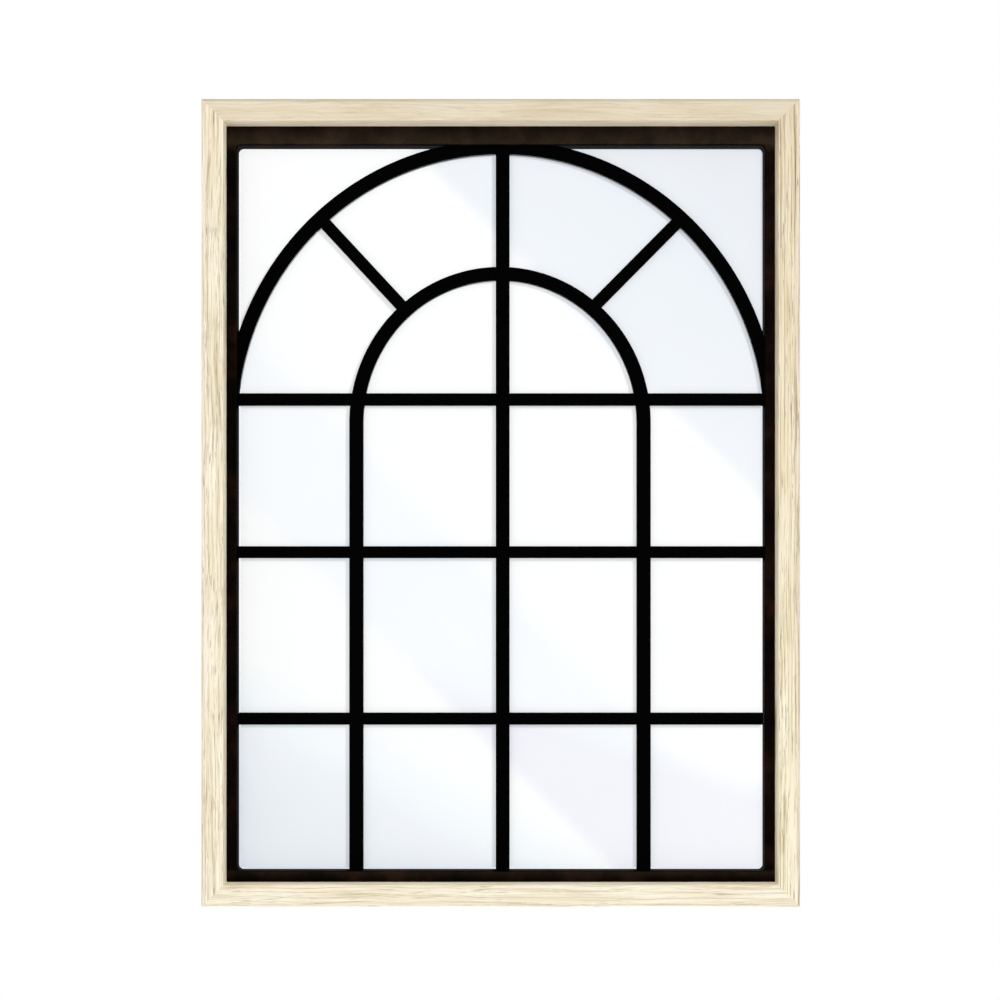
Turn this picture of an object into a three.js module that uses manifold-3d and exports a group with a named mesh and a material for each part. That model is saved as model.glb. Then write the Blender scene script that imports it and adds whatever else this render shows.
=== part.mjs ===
// Arched window mirror: a mitred wooden frame, a dark routed liner, a plate of mirror glass and,
// in front of the glass, a black window grille of halved bars with two elliptical arches.
// A back board behind the glass is kept in by turn buttons, and the frame hangs by two D-rings.
//
// Millimetres. The finished object stands upright: +X right, +Z up, its front faces -Y.
// The origin is the middle of the frame's bottom edge, halfway through its depth.
// Pieces are drawn lying face up on the bench: x right, y towards the top edge, z towards the
// viewer, with z = 0 on the frame's back. The last group stands them up.
import * as THREE from "three";
import { mergeVertices } from "three/addons/utils/BufferGeometryUtils.js";
import Module from "manifold-3d";

// ---- Driving dimensions ----

// Frame moulding: a plain square-faced section with a rabbet behind its front lip
const frameWidth = 600;
const frameHeight = 810;
const mouldingFace = 22;
const lipDepth = 19;
const rabbetWidth = 8;
const outerEdgeRadius = 2.5;
const innerEdgeRadius = 0.8;
const backEdgeRadius = 1.2;
const mitreGap = 0.3;

// What lies in the rabbet, from the front: liner, glass, back board
const linerThickness = 8;
const glassThickness = 3;
const boardThickness = 3;
const layerGap = 0.25;
const linerClearance = 0.5;
const glassClearance = 1.2;
const glassSeam = 0.4;
const boardCornerRadius = 3;

// Liner: one routed board with a round-cornered opening, its face widest along the top rail
const linerTopFace = 18.5;
const linerBottomFace = 10.5;
const linerStileFace = 10;
const openingRadius = 5;
const linerChamfer = 0.7;
const grilleSeat = 5;
const seatClearance = 0.5;

// Grille of flat bars: three upright mullions, three crossbars, two arches and two spokes
const grilleThickness = 4;
const mullionWidth = 14;
const crossbarWidth = 12;
const spokeWidth = 12;
const leftMullionX = -147;
const centreMullionX = 2;
const rightMullionX = 145.5;
const lowerCrossbarY = 187;
const middleCrossbarY = 356.5;
const lowerCrossbarShort = 1.5;
const outerArchWidth = 13.5;
const crownReveal = 7.3;
const archTuck = 1;
const innerArchCrown = 13;
const innerArchRise = 145.5;
const jointGap = 0.2;
const buttGap = 0.3;

// The grille's arched head is measured down from the frame's top edge
const upperCrossbarDrop = 298;
const outerArchDrop = 327.5;
const innerArchDrop = 322;

// Degrees round each arch at which the spokes' centre lines leave the inner arch and meet the outer
const leftSpokeFootAngle = 131;
const leftSpokeHeadAngle = 131.7;
const rightSpokeFootAngle = 50;
const rightSpokeHeadAngle = 48.3;

// Turn buttons that keep the back board in, two on each side of the frame
const buttonLength = 25;
const buttonRadius = 5;
const buttonTipRadius = 3.6;
const buttonThickness = 1.2;
const stileButtonOffset = 240;
const railButtonOffset = 150;

// Pan-head wood screws
const screwRadius = 1.5;
const screwLength = 13;
const screwTip = 4;
const screwHeadRadius = 3;
const screwHeadHeight = 1.9;
const screwHeadRim = 0.6;
const pilotClearance = 0.1;
const pilotRunOut = 1;

// Strap hangers with a D-ring each
const hangerDrop = 230;
const hangerInset = 8.5;
const strapWidth = 10;
const strapThickness = 1.2;
const strapLength = 44;
const strapScrewFirst = 21;
const strapScrewPitch = 16;
const ringWireRadius = 1.3;
const ringReach = 6;
const ringSideGap = 0.4;

// Bumpers that keep the bottom edge off the wall
const bumperRadius = 5.5;
const bumperHeight = 6;
const bumperFlatRadius = 3.5;
const bumperRim = 4;
const bumperRise = 24;

// Metal that turns or rests on something keeps this clearance
const seatGap = 0.2;
const runningGap = 0.3;

// Smoothness of round stretches
const archSteps = 72;
const filletSteps = 4;
const cornerSteps = 8;
const roundSteps = 14;
const wireSteps = 10;
const ringSteps = 30;

// Corners closer than this are one corner, and cutters run past what they cut by the overrun
const weldDistance = 1e-4;
const cutterOverrun = 1;

// ---- Sizes that follow ----

// One layer gap lies in front of the liner, one before each layer behind it and one behind the board
const layerGaps = 4;
const rabbetDepth = linerThickness + glassThickness + boardThickness + layerGaps * layerGap;
const frameDepth = lipDepth + rabbetDepth;
const landWidth = mouldingFace - rabbetWidth;

const boardBack = layerGap;
const glassBack = boardBack + boardThickness + layerGap;
const linerBack = glassBack + glassThickness + layerGap;
const grilleBack = linerBack;
const halfway = grilleThickness / 2;

const openingHalfWidth = frameWidth / 2 - mouldingFace - linerStileFace;
const openingBottom = mouldingFace + linerBottomFace;
const openingTop = frameHeight - mouldingFace - linerTopFace;
const barTuck = grilleSeat - seatClearance;
const upperCrossbarY = frameHeight - upperCrossbarDrop;
const outerArchSpringing = frameHeight - outerArchDrop;
const innerArchSpringing = frameHeight - innerArchDrop;

const outerArch = {
  x: 0,
  springing: outerArchSpringing,
  foot: upperCrossbarY + crossbarWidth / 2 + buttGap,
  halfSpan: openingHalfWidth + archTuck,
  rise: openingTop - crownReveal - outerArchSpringing,
  sideWidth: outerArchWidth,
  crownWidth: outerArchWidth,
};
const innerArch = {
  x: (leftMullionX + rightMullionX) / 2,
  springing: innerArchSpringing,
  foot: innerArchSpringing,
  halfSpan: (rightMullionX - leftMullionX - mullionWidth) / 2,
  rise: innerArchRise,
  sideWidth: mullionWidth,
  crownWidth: innerArchCrown,
};

const ringPinHeight = strapThickness + runningGap + ringWireRadius;
const ringHalfWidth = strapWidth / 2 + ringSideGap + ringWireRadius;

const wasm = await Module();
wasm.setup();

// ---- Solids and booleans ----

// A closed geometry as a solid that can be cut and joined.
function toSolid(geometry) {
  const bare = geometry.clone();
  bare.deleteAttribute("normal");
  bare.deleteAttribute("uv");
  const merged = mergeVertices(bare, weldDistance);
  return new wasm.Manifold(
    new wasm.Mesh({
      numProp: 3,
      vertProperties: merged.attributes.position.array,
      triVerts: new Uint32Array(merged.index.array),
    }),
  );
}

function toGeometry(solid) {
  const mesh = solid.getMesh();
  const geometry = new THREE.BufferGeometry();
  geometry.setAttribute("position", new THREE.BufferAttribute(mesh.vertProperties, 3));
  geometry.setIndex(new THREE.BufferAttribute(mesh.triVerts, 1));
  const faceted = geometry.toNonIndexed();
  faceted.computeVertexNormals();
  return faceted;
}

// An outline drawn in x and y, made solid from height low to height high.
function slab(outline, low, high, steps = filletSteps) {
  const options = { depth: high - low, bevelEnabled: false, curveSegments: steps };
  return new THREE.ExtrudeGeometry(outline, options).translate(0, 0, low);
}

// A round bore along z, used as a cutter.
function drill(x, y, radius, low, high) {
  const bore = new THREE.CylinderGeometry(radius, radius, high - low, roundSteps);
  bore.rotateX(Math.PI / 2);
  bore.translate(x, y, (low + high) / 2);
  return toSolid(bore);
}

function roundedRectangle(left, bottom, right, top, radius) {
  const shape = new THREE.Shape();
  shape.absarc(right - radius, bottom + radius, radius, -Math.PI / 2, 0, false);
  shape.absarc(right - radius, top - radius, radius, 0, Math.PI / 2, false);
  shape.absarc(left + radius, top - radius, radius, Math.PI / 2, Math.PI, false);
  shape.absarc(left + radius, bottom + radius, radius, Math.PI, 1.5 * Math.PI, false);
  shape.closePath();
  return shape;
}

// The liner's opening, made larger all round by a margin.
function openingOutline(margin) {
  const half = openingHalfWidth + margin;
  const radius = openingRadius + margin;
  return roundedRectangle(-half, openingBottom - margin, half, openingTop + margin, radius);
}

function named(name, geometry, material) {
  const mesh = new THREE.Mesh(geometry, material);
  mesh.name = name;
  return mesh;
}

// ---- Materials ----

const finish = (color, roughness, metalness = 0) =>
  new THREE.MeshStandardMaterial({ color, roughness, metalness });

const paleWood = () => finish(0xf2e3c4, 0.55);
const darkLiner = () => finish(0x21140d, 0.5);
const blackPaint = () => finish(0x080808, 0.6);
const silvering = () => finish(0xf4f7fa, 0.03, 1);
const hardboard = () => finish(0x8a6a48, 0.8);
const zincPlate = () => finish(0xc3c6c8, 0.35, 1);
const greyRubber = () => finish(0x55565a, 0.8);

// ---- Wooden frame ----

// Section of the moulding: x runs in from the outer edge, y up from the back to the front face.
function mouldingSection() {
  const section = new THREE.Shape();
  section.moveTo(landWidth, 0);
  section.lineTo(landWidth, rabbetDepth);
  section.lineTo(mouldingFace, rabbetDepth);
  section.lineTo(mouldingFace, frameDepth - innerEdgeRadius);
  section.absarc(
    mouldingFace - innerEdgeRadius, frameDepth - innerEdgeRadius, innerEdgeRadius, 0, Math.PI / 2, false,
  );
  section.absarc(
    outerEdgeRadius, frameDepth - outerEdgeRadius, outerEdgeRadius, Math.PI / 2, Math.PI, false,
  );
  section.absarc(backEdgeRadius, backEdgeRadius, backEdgeRadius, Math.PI, 1.5 * Math.PI, false);
  section.closePath();
  return section;
}

// One length of moulding along x, its outer edge on y = 0, mitred at both ends and drilled from
// the back for its screws. Each screw is given by its place along x and its distance from the edge.
function mouldingLength(length, screws) {
  const options = { depth: length, bevelEnabled: false, curveSegments: filletSteps };
  const bar = new THREE.ExtrudeGeometry(mouldingSection(), options);
  const alongX = new THREE.Matrix4().makeBasis(
    new THREE.Vector3(0, 1, 0), new THREE.Vector3(0, 0, 1), new THREE.Vector3(1, 0, 0),
  );
  bar.applyMatrix4(alongX).translate(-length / 2, 0, 0);
  const corner = bar.attributes.position;
  for (let i = 0; i < corner.count; i += 1) {
    const setBack = corner.getY(i) + mitreGap * Math.SQRT1_2;
    corner.setX(i, Math.sign(corner.getX(i)) * (length / 2 - setBack));
  }
  const radius = screwRadius + pilotClearance;
  const depth = screwLength + pilotRunOut;
  const pilots = screws.map((screw) => drill(screw.along, screw.inset, radius, -cutterOverrun, depth));
  return toGeometry(pilots.reduce((solid, pilot) => solid.subtract(pilot), toSolid(bar)));
}

function railScrews() {
  const inset = landWidth / 2;
  return [-railButtonOffset, railButtonOffset].map((along) => ({ along, inset }));
}

// Screws of a stile; side is -1 for the left one, whose length runs downwards, and 1 for the right.
function stileScrews(side) {
  const loop = frameHeight / 2 - hangerDrop;
  const buttons = [-stileButtonOffset, stileButtonOffset].map((height) => ({
    along: side * height,
    inset: landWidth / 2,
  }));
  const straps = [0, 1].map((step) => ({
    along: side * (loop - strapScrewFirst - step * strapScrewPitch),
    inset: hangerInset,
  }));
  return [...buttons, ...straps];
}

function woodenFrame() {
  const frame = new THREE.Group();
  const bottom = named("bottom_rail", mouldingLength(frameWidth, railScrews()), paleWood());
  const top = named("top_rail", mouldingLength(frameWidth, railScrews()), paleWood());
  top.position.y = frameHeight;
  top.rotation.z = Math.PI;
  const left = named("left_stile", mouldingLength(frameHeight, stileScrews(-1)), paleWood());
  left.position.set(-frameWidth / 2, frameHeight / 2, 0);
  left.rotation.z = -Math.PI / 2;
  const right = named("right_stile", mouldingLength(frameHeight, stileScrews(1)), paleWood());
  right.position.set(frameWidth / 2, frameHeight / 2, 0);
  right.rotation.z = Math.PI / 2;
  frame.add(bottom, top, left, right);
  return frame;
}

// ---- Liner, glass and back board ----

// The opening's front edge is chamfered by a cutter that widens over its last stretch.
function chamferCutter() {
  const low = linerThickness - linerChamfer;
  const cutter = slab(openingOutline(0), low, linerThickness, cornerSteps);
  const corner = cutter.attributes.position;
  for (let i = 0; i < corner.count; i += 1) {
    const atFront = corner.getZ(i) > low + linerChamfer / 2;
    const spread = atFront ? linerChamfer : 0;
    corner.setX(i, corner.getX(i) + Math.sign(corner.getX(i)) * spread);
    corner.setY(i, corner.getY(i) + Math.sign(corner.getY(i) - frameHeight / 2) * spread);
  }
  return toSolid(cutter);
}

function liner() {
  const edge = landWidth + linerClearance;
  const board = new THREE.Shape();
  board.moveTo(edge - frameWidth / 2, edge);
  board.lineTo(frameWidth / 2 - edge, edge);
  board.lineTo(frameWidth / 2 - edge, frameHeight - edge);
  board.lineTo(edge - frameWidth / 2, frameHeight - edge);
  board.closePath();
  board.holes.push(openingOutline(0));
  const seatDepth = grilleThickness + layerGap;
  const seat = toSolid(slab(openingOutline(grilleSeat), -cutterOverrun, seatDepth, cornerSteps));
  const routed = toSolid(slab(board, 0, linerThickness, cornerSteps));
  const solid = routed.subtract(seat).subtract(chamferCutter());
  const mesh = named("liner_frame", toGeometry(solid), darkLiner());
  mesh.position.z = linerBack;
  return mesh;
}

function mirrorGlass() {
  const edge = landWidth + glassClearance + glassSeam;
  const left = edge - frameWidth / 2;
  const plate = roundedRectangle(left, edge, -left, frameHeight - edge, glassSeam);
  const options = {
    depth: glassThickness - 2 * glassSeam,
    bevelThickness: glassSeam,
    bevelSize: glassSeam,
    bevelSegments: 1,
    curveSegments: 1,
  };
  const mesh = named("mirror_glass", new THREE.ExtrudeGeometry(plate, options), silvering());
  mesh.position.z = glassBack + glassSeam;
  return mesh;
}

function backBoard() {
  const edge = landWidth + glassClearance;
  const left = edge - frameWidth / 2;
  const outline = roundedRectangle(left, edge, -left, frameHeight - edge, boardCornerRadius);
  const mesh = named("back_board", slab(outline, 0, boardThickness), hardboard());
  mesh.position.z = boardBack;
  return mesh;
}

// ---- Grille ----

// A straight bar between two points of its centre line, made larger all round by a margin.
function barOutline(from, to, width, margin) {
  const along = to.clone().sub(from).normalize();
  const across = new THREE.Vector2(-along.y, along.x).multiplyScalar(width / 2 + margin);
  const start = from.clone().addScaledVector(along, -margin);
  const end = to.clone().addScaledVector(along, margin);
  return new THREE.Shape([
    start.clone().sub(across), end.clone().sub(across), end.clone().add(across), start.clone().add(across),
  ]);
}

function mullionOutline(x, top, margin = 0) {
  const foot = new THREE.Vector2(x, openingBottom - barTuck);
  return barOutline(foot, new THREE.Vector2(x, top), mullionWidth, margin);
}

function crossbarOutline(y, halfLength, margin = 0) {
  return barOutline(
    new THREE.Vector2(-halfLength, y), new THREE.Vector2(halfLength, y), crossbarWidth, margin,
  );
}

// A band between two half ellipses. Above its springing it follows the ellipses; feet that lie
// higher than the springing cut them off, and feet that lie lower give it straight legs.
function archOutline(arch, margin = 0) {
  const band = new THREE.Shape();
  const edges = [
    { half: arch.halfSpan + arch.sideWidth + margin, rise: arch.rise + arch.crownWidth + margin },
    { half: arch.halfSpan - margin, rise: arch.rise - margin },
  ].map((edge) => {
    const cutOff = Math.max(0, arch.foot - arch.springing);
    return { ...edge, start: Math.asin(cutOff / edge.rise) };
  });
  const [outer, inner] = edges;
  const foot = arch.foot - margin;
  band.moveTo(arch.x + outer.half * Math.cos(outer.start), foot);
  band.absellipse(
    arch.x, arch.springing, outer.half, outer.rise, outer.start, Math.PI - outer.start, false,
  );
  band.lineTo(arch.x - outer.half * Math.cos(outer.start), foot);
  band.lineTo(arch.x - inner.half * Math.cos(inner.start), foot);
  band.absellipse(
    arch.x, arch.springing, inner.half, inner.rise, Math.PI - inner.start, inner.start, true,
  );
  band.lineTo(arch.x + inner.half * Math.cos(inner.start), foot);
  band.closePath();
  return band;
}

// An arch's own edges: the inner one bounds what it spans, the outer one adds its width.
const innerEdge = (arch) => ({ ...arch, half: arch.halfSpan, high: arch.rise });
const outerEdge = (arch) => ({
  ...arch,
  half: arch.halfSpan + arch.sideWidth,
  high: arch.rise + arch.crownWidth,
});

function pointOn(edge, degrees) {
  const turn = THREE.MathUtils.degToRad(degrees);
  return new THREE.Vector2(
    edge.x + edge.half * Math.cos(turn), edge.springing + edge.high * Math.sin(turn),
  );
}

// The area under an arch's edge, made larger by a margin; spokes are coped against it.
function areaUnder(edge, margin) {
  const area = new THREE.Shape();
  area.absellipse(edge.x, edge.springing, edge.half + margin, edge.high + margin, 0, Math.PI, false);
  area.closePath();
  return area;
}

const barSolid = (outline) => toSolid(slab(outline, 0, grilleThickness, archSteps));
const frontHalf = (outline) =>
  toSolid(slab(outline, halfway - jointGap / 2, grilleThickness + cutterOverrun, archSteps));
const backHalf = (outline) =>
  toSolid(slab(outline, -cutterOverrun, halfway + jointGap / 2, archSteps));
const wholeDepth = (outline) =>
  toSolid(slab(outline, -cutterOverrun, grilleThickness + cutterOverrun, archSteps));

// Bars cross in halved joints: the bar on top keeps its front half, the one below its back half.
function halvedOver(solid, crossing) {
  return crossing.reduce((bar, outline) => bar.subtract(backHalf(outline)), solid);
}

function halvedUnder(solid, crossing) {
  return crossing.reduce((bar, outline) => bar.subtract(frontHalf(outline)), solid);
}

// A bar that leans between the arches, its ends coped to their curves.
function spokeSolid(footAngle, headAngle) {
  const foot = pointOn(outerEdge(innerArch), footAngle);
  const head = pointOn(innerEdge(outerArch), headAngle);
  const overrun = head.clone().sub(foot).setLength(spokeWidth);
  const bar = barSolid(barOutline(foot.sub(overrun), head.add(overrun), spokeWidth, 0));
  return bar
    .intersect(wholeDepth(areaUnder(innerEdge(outerArch), -buttGap)))
    .subtract(wholeDepth(areaUnder(outerEdge(innerArch), buttGap)));
}

function grille() {
  const group = new THREE.Group();
  group.position.z = grilleBack;
  const fullTop = openingTop + barTuck;
  const sideTop = innerArchSpringing - buttGap;
  const fullHalf = openingHalfWidth + barTuck;
  const shortHalf = openingHalfWidth - lowerCrossbarShort;

  const crossbars = [
    { name: "lower_crossbar", y: lowerCrossbarY, half: shortHalf },
    { name: "middle_crossbar", y: middleCrossbarY, half: fullHalf },
    { name: "upper_crossbar", y: upperCrossbarY, half: fullHalf },
  ];
  const mullions = [
    { name: "left_mullion", x: leftMullionX, top: sideTop },
    { name: "centre_mullion", x: centreMullionX, top: fullTop },
    { name: "right_mullion", x: rightMullionX, top: sideTop },
  ];
  const crossbarCuts = crossbars.map((bar) => crossbarOutline(bar.y, bar.half, jointGap));
  const mullionCuts = mullions.map((bar) => mullionOutline(bar.x, bar.top, jointGap));
  const innerArchCut = archOutline(innerArch, jointGap);
  const outerArchCut = archOutline(outerArch, jointGap);
  const centreCut = mullionOutline(centreMullionX, fullTop, jointGap);

  for (const bar of mullions) {
    const archCuts = bar.top === fullTop ? [innerArchCut, outerArchCut] : [];
    const whole = barSolid(mullionOutline(bar.x, bar.top));
    const solid = halvedOver(whole, [...crossbarCuts, ...archCuts]);
    group.add(named(bar.name, toGeometry(solid), blackPaint()));
  }
  for (const bar of crossbars) {
    const whole = barSolid(crossbarOutline(bar.y, bar.half));
    const solid = halvedUnder(whole, [...mullionCuts, innerArchCut]);
    group.add(named(bar.name, toGeometry(solid), blackPaint()));
  }

  const springing = crossbarCuts[crossbarCuts.length - 1];
  const underCentre = halvedUnder(barSolid(archOutline(innerArch)), [centreCut]);
  const innerSolid = halvedOver(underCentre, [springing]);
  group.add(named("inner_arch", toGeometry(innerSolid), blackPaint()));
  const seated = barSolid(archOutline(outerArch)).intersect(barSolid(openingOutline(barTuck)));
  group.add(named("outer_arch", toGeometry(halvedUnder(seated, [centreCut])), blackPaint()));

  const leftSpoke = spokeSolid(leftSpokeFootAngle, leftSpokeHeadAngle);
  const rightSpoke = spokeSolid(rightSpokeFootAngle, rightSpokeHeadAngle);
  group.add(named("left_spoke", toGeometry(leftSpoke), blackPaint()));
  group.add(named("right_spoke", toGeometry(rightSpoke), blackPaint()));
  return group;
}

// ---- Hardware on the back, drawn with z pointing away from the frame's back ----

// A pan-head screw on the z axis, its head resting on height seat.
function screwGeometry(seat) {
  const crown = seat + screwHeadHeight;
  const profile = new THREE.Path();
  profile.moveTo(0, crown);
  profile.quadraticCurveTo(screwHeadRadius, crown, screwHeadRadius, seat + screwHeadRim);
  profile.lineTo(screwHeadRadius, seat);
  profile.lineTo(screwRadius, seat);
  profile.lineTo(screwRadius, screwTip - screwLength);
  profile.lineTo(0, -screwLength);
  const points = profile.getPoints(filletSteps).reverse();
  return new THREE.LatheGeometry(points, roundSteps).rotateX(Math.PI / 2);
}

// A flat button that turns about its round end and narrows to a small round tip, along +x.
function turnButtonGeometry() {
  const reach = buttonLength - buttonTipRadius;
  const lean = Math.asin((buttonRadius - buttonTipRadius) / reach);
  const outline = new THREE.Shape();
  outline.absarc(0, 0, buttonRadius, Math.PI / 2 - lean, 1.5 * Math.PI + lean, false);
  outline.absarc(reach, 0, buttonTipRadius, lean - Math.PI / 2, Math.PI / 2 - lean, false);
  outline.closePath();
  const hole = new THREE.Path();
  hole.absarc(0, 0, screwRadius + runningGap, 0, 2 * Math.PI, false);
  outline.holes.push(hole);
  return slab(outline, 0, buttonThickness, roundSteps / 2);
}

// A turn button with its screw; turn is the direction in which its tip points at rest.
function turnButton(label, x, y, turn) {
  const group = new THREE.Group();
  group.position.set(x, y, 0);
  group.rotation.z = turn;
  const button = named(`turn_button_${label}`, turnButtonGeometry(), zincPlate());
  button.position.z = seatGap;
  const headSeat = seatGap + buttonThickness + seatGap;
  group.add(button, named(`button_screw_${label}`, screwGeometry(headSeat), zincPlate()));
  return group;
}

// A strap folded round the ring's pin: its side view is extruded over the strap's width, then its
// lower end is rounded and drilled. The pin's axis is x, and the strap runs down from it.
function strapGeometry() {
  const curl = ringPinHeight;
  const side = new THREE.Shape();
  side.moveTo(strapLength, 0);
  side.lineTo(0, 0);
  side.absarc(0, curl, curl, -Math.PI / 2, -Math.asin((curl - strapThickness) / curl), true);
  side.lineTo(strapLength, strapThickness);
  side.closePath();
  const eye = new THREE.Path();
  eye.absarc(0, curl, ringWireRadius + runningGap, 0, 2 * Math.PI, false);
  side.holes.push(eye);
  const options = { depth: strapWidth, bevelEnabled: false, curveSegments: roundSteps / 2 };
  const folded = new THREE.ExtrudeGeometry(side, options);
  const downwards = new THREE.Matrix4().makeBasis(
    new THREE.Vector3(0, -1, 0), new THREE.Vector3(0, 0, 1), new THREE.Vector3(-1, 0, 0),
  );
  folded.applyMatrix4(downwards).translate(strapWidth / 2, 0, 0);
  const half = strapWidth / 2;
  const plan = roundedRectangle(-half, -strapLength, half, curl + strapWidth, half);
  const trim = toSolid(slab(plan, -cutterOverrun, 2 * curl + cutterOverrun));
  const through = strapThickness + cutterOverrun;
  const holes = [0, 1].map((step) => {
    const y = -strapScrewFirst - step * strapScrewPitch;
    return drill(0, y, screwRadius + runningGap, -cutterOverrun, through);
  });
  const trimmed = toSolid(folded).intersect(trim);
  return toGeometry(holes.reduce((solid, hole) => solid.subtract(hole), trimmed));
}

// A D-shaped ring of round wire hanging from its straight side: two legs and a half-round bow,
// swept along their centre line, joined to the pin that runs through the strap's eye.
function ringGeometry() {
  const bow = new THREE.CurvePath();
  const corner = (x, y) => new THREE.Vector3(x, y, 0);
  bow.add(new THREE.LineCurve3(corner(-ringHalfWidth, 0), corner(-ringHalfWidth, -ringReach)));
  bow.add(new HalfRound(ringHalfWidth, -ringReach));
  bow.add(new THREE.LineCurve3(corner(ringHalfWidth, -ringReach), corner(ringHalfWidth, 0)));
  const wire = new THREE.Shape();
  wire.absarc(0, 0, ringWireRadius, 0, 2 * Math.PI, false);
  const options = { steps: ringSteps, extrudePath: bow, curveSegments: wireSteps / 2 };
  const swept = toSolid(new THREE.ExtrudeGeometry(wire, options));
  const pin = new THREE.CapsuleGeometry(ringWireRadius, 2 * ringHalfWidth, filletSteps, wireSteps);
  pin.rotateZ(Math.PI / 2);
  return toGeometry(swept.add(toSolid(pin)));
}

// The bow's centre line: a half circle in the xy plane, open upwards, from its left end.
class HalfRound extends THREE.Curve {
  constructor(radius, height) {
    super();
    this.radius = radius;
    this.height = height;
  }
  getPoint(t) {
    const angle = Math.PI * (1 + t);
    return new THREE.Vector3(
      this.radius * Math.cos(angle),
      this.height + this.radius * Math.sin(angle),
      0,
    );
  }
}

function hanger(label, x) {
  const group = new THREE.Group();
  group.position.set(x, frameHeight - hangerDrop, 0);
  const strap = named(`hanger_strap_${label}`, strapGeometry(), zincPlate());
  strap.position.z = seatGap;
  const ring = named(`d_ring_${label}`, ringGeometry(), zincPlate());
  ring.position.z = seatGap + ringPinHeight;
  group.add(strap, ring);
  ["upper", "lower"].forEach((place, step) => {
    const screw = named(
      `strap_screw_${label}_${place}`, screwGeometry(2 * seatGap + strapThickness), zincPlate(),
    );
    screw.position.y = -strapScrewFirst - step * strapScrewPitch;
    group.add(screw);
  });
  return group;
}

// A low round pad with a domed top, standing on the frame's back.
function bumper(label, x) {
  const profile = new THREE.Path();
  profile.moveTo(0, 0);
  profile.lineTo(bumperRadius, 0);
  profile.lineTo(bumperRadius, bumperRim);
  profile.quadraticCurveTo(bumperRadius, bumperHeight, bumperFlatRadius, bumperHeight);
  profile.lineTo(0, bumperHeight);
  const turned = new THREE.LatheGeometry(profile.getPoints(filletSteps), roundSteps);
  const pad = turned.rotateX(Math.PI / 2);
  const mesh = named(`bumper_${label}`, pad, greyRubber());
  mesh.position.set(x, bumperRise, seatGap);
  return mesh;
}

// The hardware group is turned over, so its x runs the other way: left pieces lie at positive x.
function backHardware() {
  const back = new THREE.Group();
  back.rotation.y = Math.PI;
  const screwLine = frameWidth / 2 - landWidth / 2;
  for (const [label, side] of [["left", 1], ["right", -1]]) {
    const inward = side > 0 ? Math.PI : 0;
    const railX = side * railButtonOffset;
    for (const [place, step] of [["upper", 1], ["lower", -1]]) {
      const height = frameHeight / 2 + step * stileButtonOffset;
      back.add(turnButton(`${label}_${place}`, side * screwLine, height, inward));
    }
    back.add(turnButton(`top_${label}`, railX, frameHeight - landWidth / 2, -Math.PI / 2));
    back.add(turnButton(`bottom_${label}`, railX, landWidth / 2, Math.PI / 2));
    back.add(hanger(label, side * (frameWidth / 2 - hangerInset)));
    back.add(bumper(label, side * screwLine));
  }
  return back;
}

// ---- Assembly ----

const mirror = new THREE.Group();
mirror.add(woodenFrame(), liner(), grille(), mirrorGlass(), backBoard(), backHardware());
mirror.rotation.x = Math.PI / 2;
mirror.position.y = frameDepth / 2;

const root = new THREE.Group();
root.add(mirror);
export default root;
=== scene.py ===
"""Arched window mirror: a pale mitred frame, a dark liner, mirror glass and a black window grille.

Metres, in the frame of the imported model: +X right, +Z up, the mirror faces -Y.
"""
import math
from collections import namedtuple

import bmesh
import bpy
from mathutils import Matrix, Vector


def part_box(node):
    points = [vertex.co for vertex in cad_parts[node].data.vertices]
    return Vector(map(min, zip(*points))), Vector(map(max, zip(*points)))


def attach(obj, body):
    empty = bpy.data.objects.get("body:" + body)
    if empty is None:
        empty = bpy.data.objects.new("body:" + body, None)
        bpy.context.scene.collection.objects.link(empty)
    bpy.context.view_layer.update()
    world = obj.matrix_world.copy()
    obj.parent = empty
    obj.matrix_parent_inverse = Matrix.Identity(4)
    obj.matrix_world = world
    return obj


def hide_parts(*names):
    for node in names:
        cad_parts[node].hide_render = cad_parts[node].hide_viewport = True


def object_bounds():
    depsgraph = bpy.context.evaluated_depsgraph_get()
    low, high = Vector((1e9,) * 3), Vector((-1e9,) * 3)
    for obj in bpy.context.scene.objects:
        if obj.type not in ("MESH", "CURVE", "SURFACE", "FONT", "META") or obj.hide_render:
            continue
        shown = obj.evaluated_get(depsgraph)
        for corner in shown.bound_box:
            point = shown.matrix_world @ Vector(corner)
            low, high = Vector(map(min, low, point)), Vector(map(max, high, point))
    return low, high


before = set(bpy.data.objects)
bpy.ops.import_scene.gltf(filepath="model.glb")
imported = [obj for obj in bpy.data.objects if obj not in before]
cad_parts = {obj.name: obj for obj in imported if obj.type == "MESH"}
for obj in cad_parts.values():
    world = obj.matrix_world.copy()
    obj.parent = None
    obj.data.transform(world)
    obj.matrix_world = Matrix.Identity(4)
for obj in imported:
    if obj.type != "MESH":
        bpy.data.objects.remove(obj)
cad_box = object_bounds()

MM = 0.001
ROOT = "mirror_body"

# The liner's opening, in which the glass shows
OPENING_HALF_WIDTH, OPENING_BOTTOM, OPENING_TOP = 268 * MM, 32.5 * MM, 769.5 * MM

# A Wave texture at a scale of 1 has its crests this far apart
WAVE_SPACING = 0.314


# ---- Nodes ----

def srgb(colour):
    """A colour written as sRGB hex, as linear RGBA."""
    parts = [int(colour[i:i + 2], 16) / 255 for i in (1, 3, 5)]
    return (*(c / 12.92 if c <= 0.04045 else ((c + 0.055) / 1.055) ** 2.4 for c in parts), 1)


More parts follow.
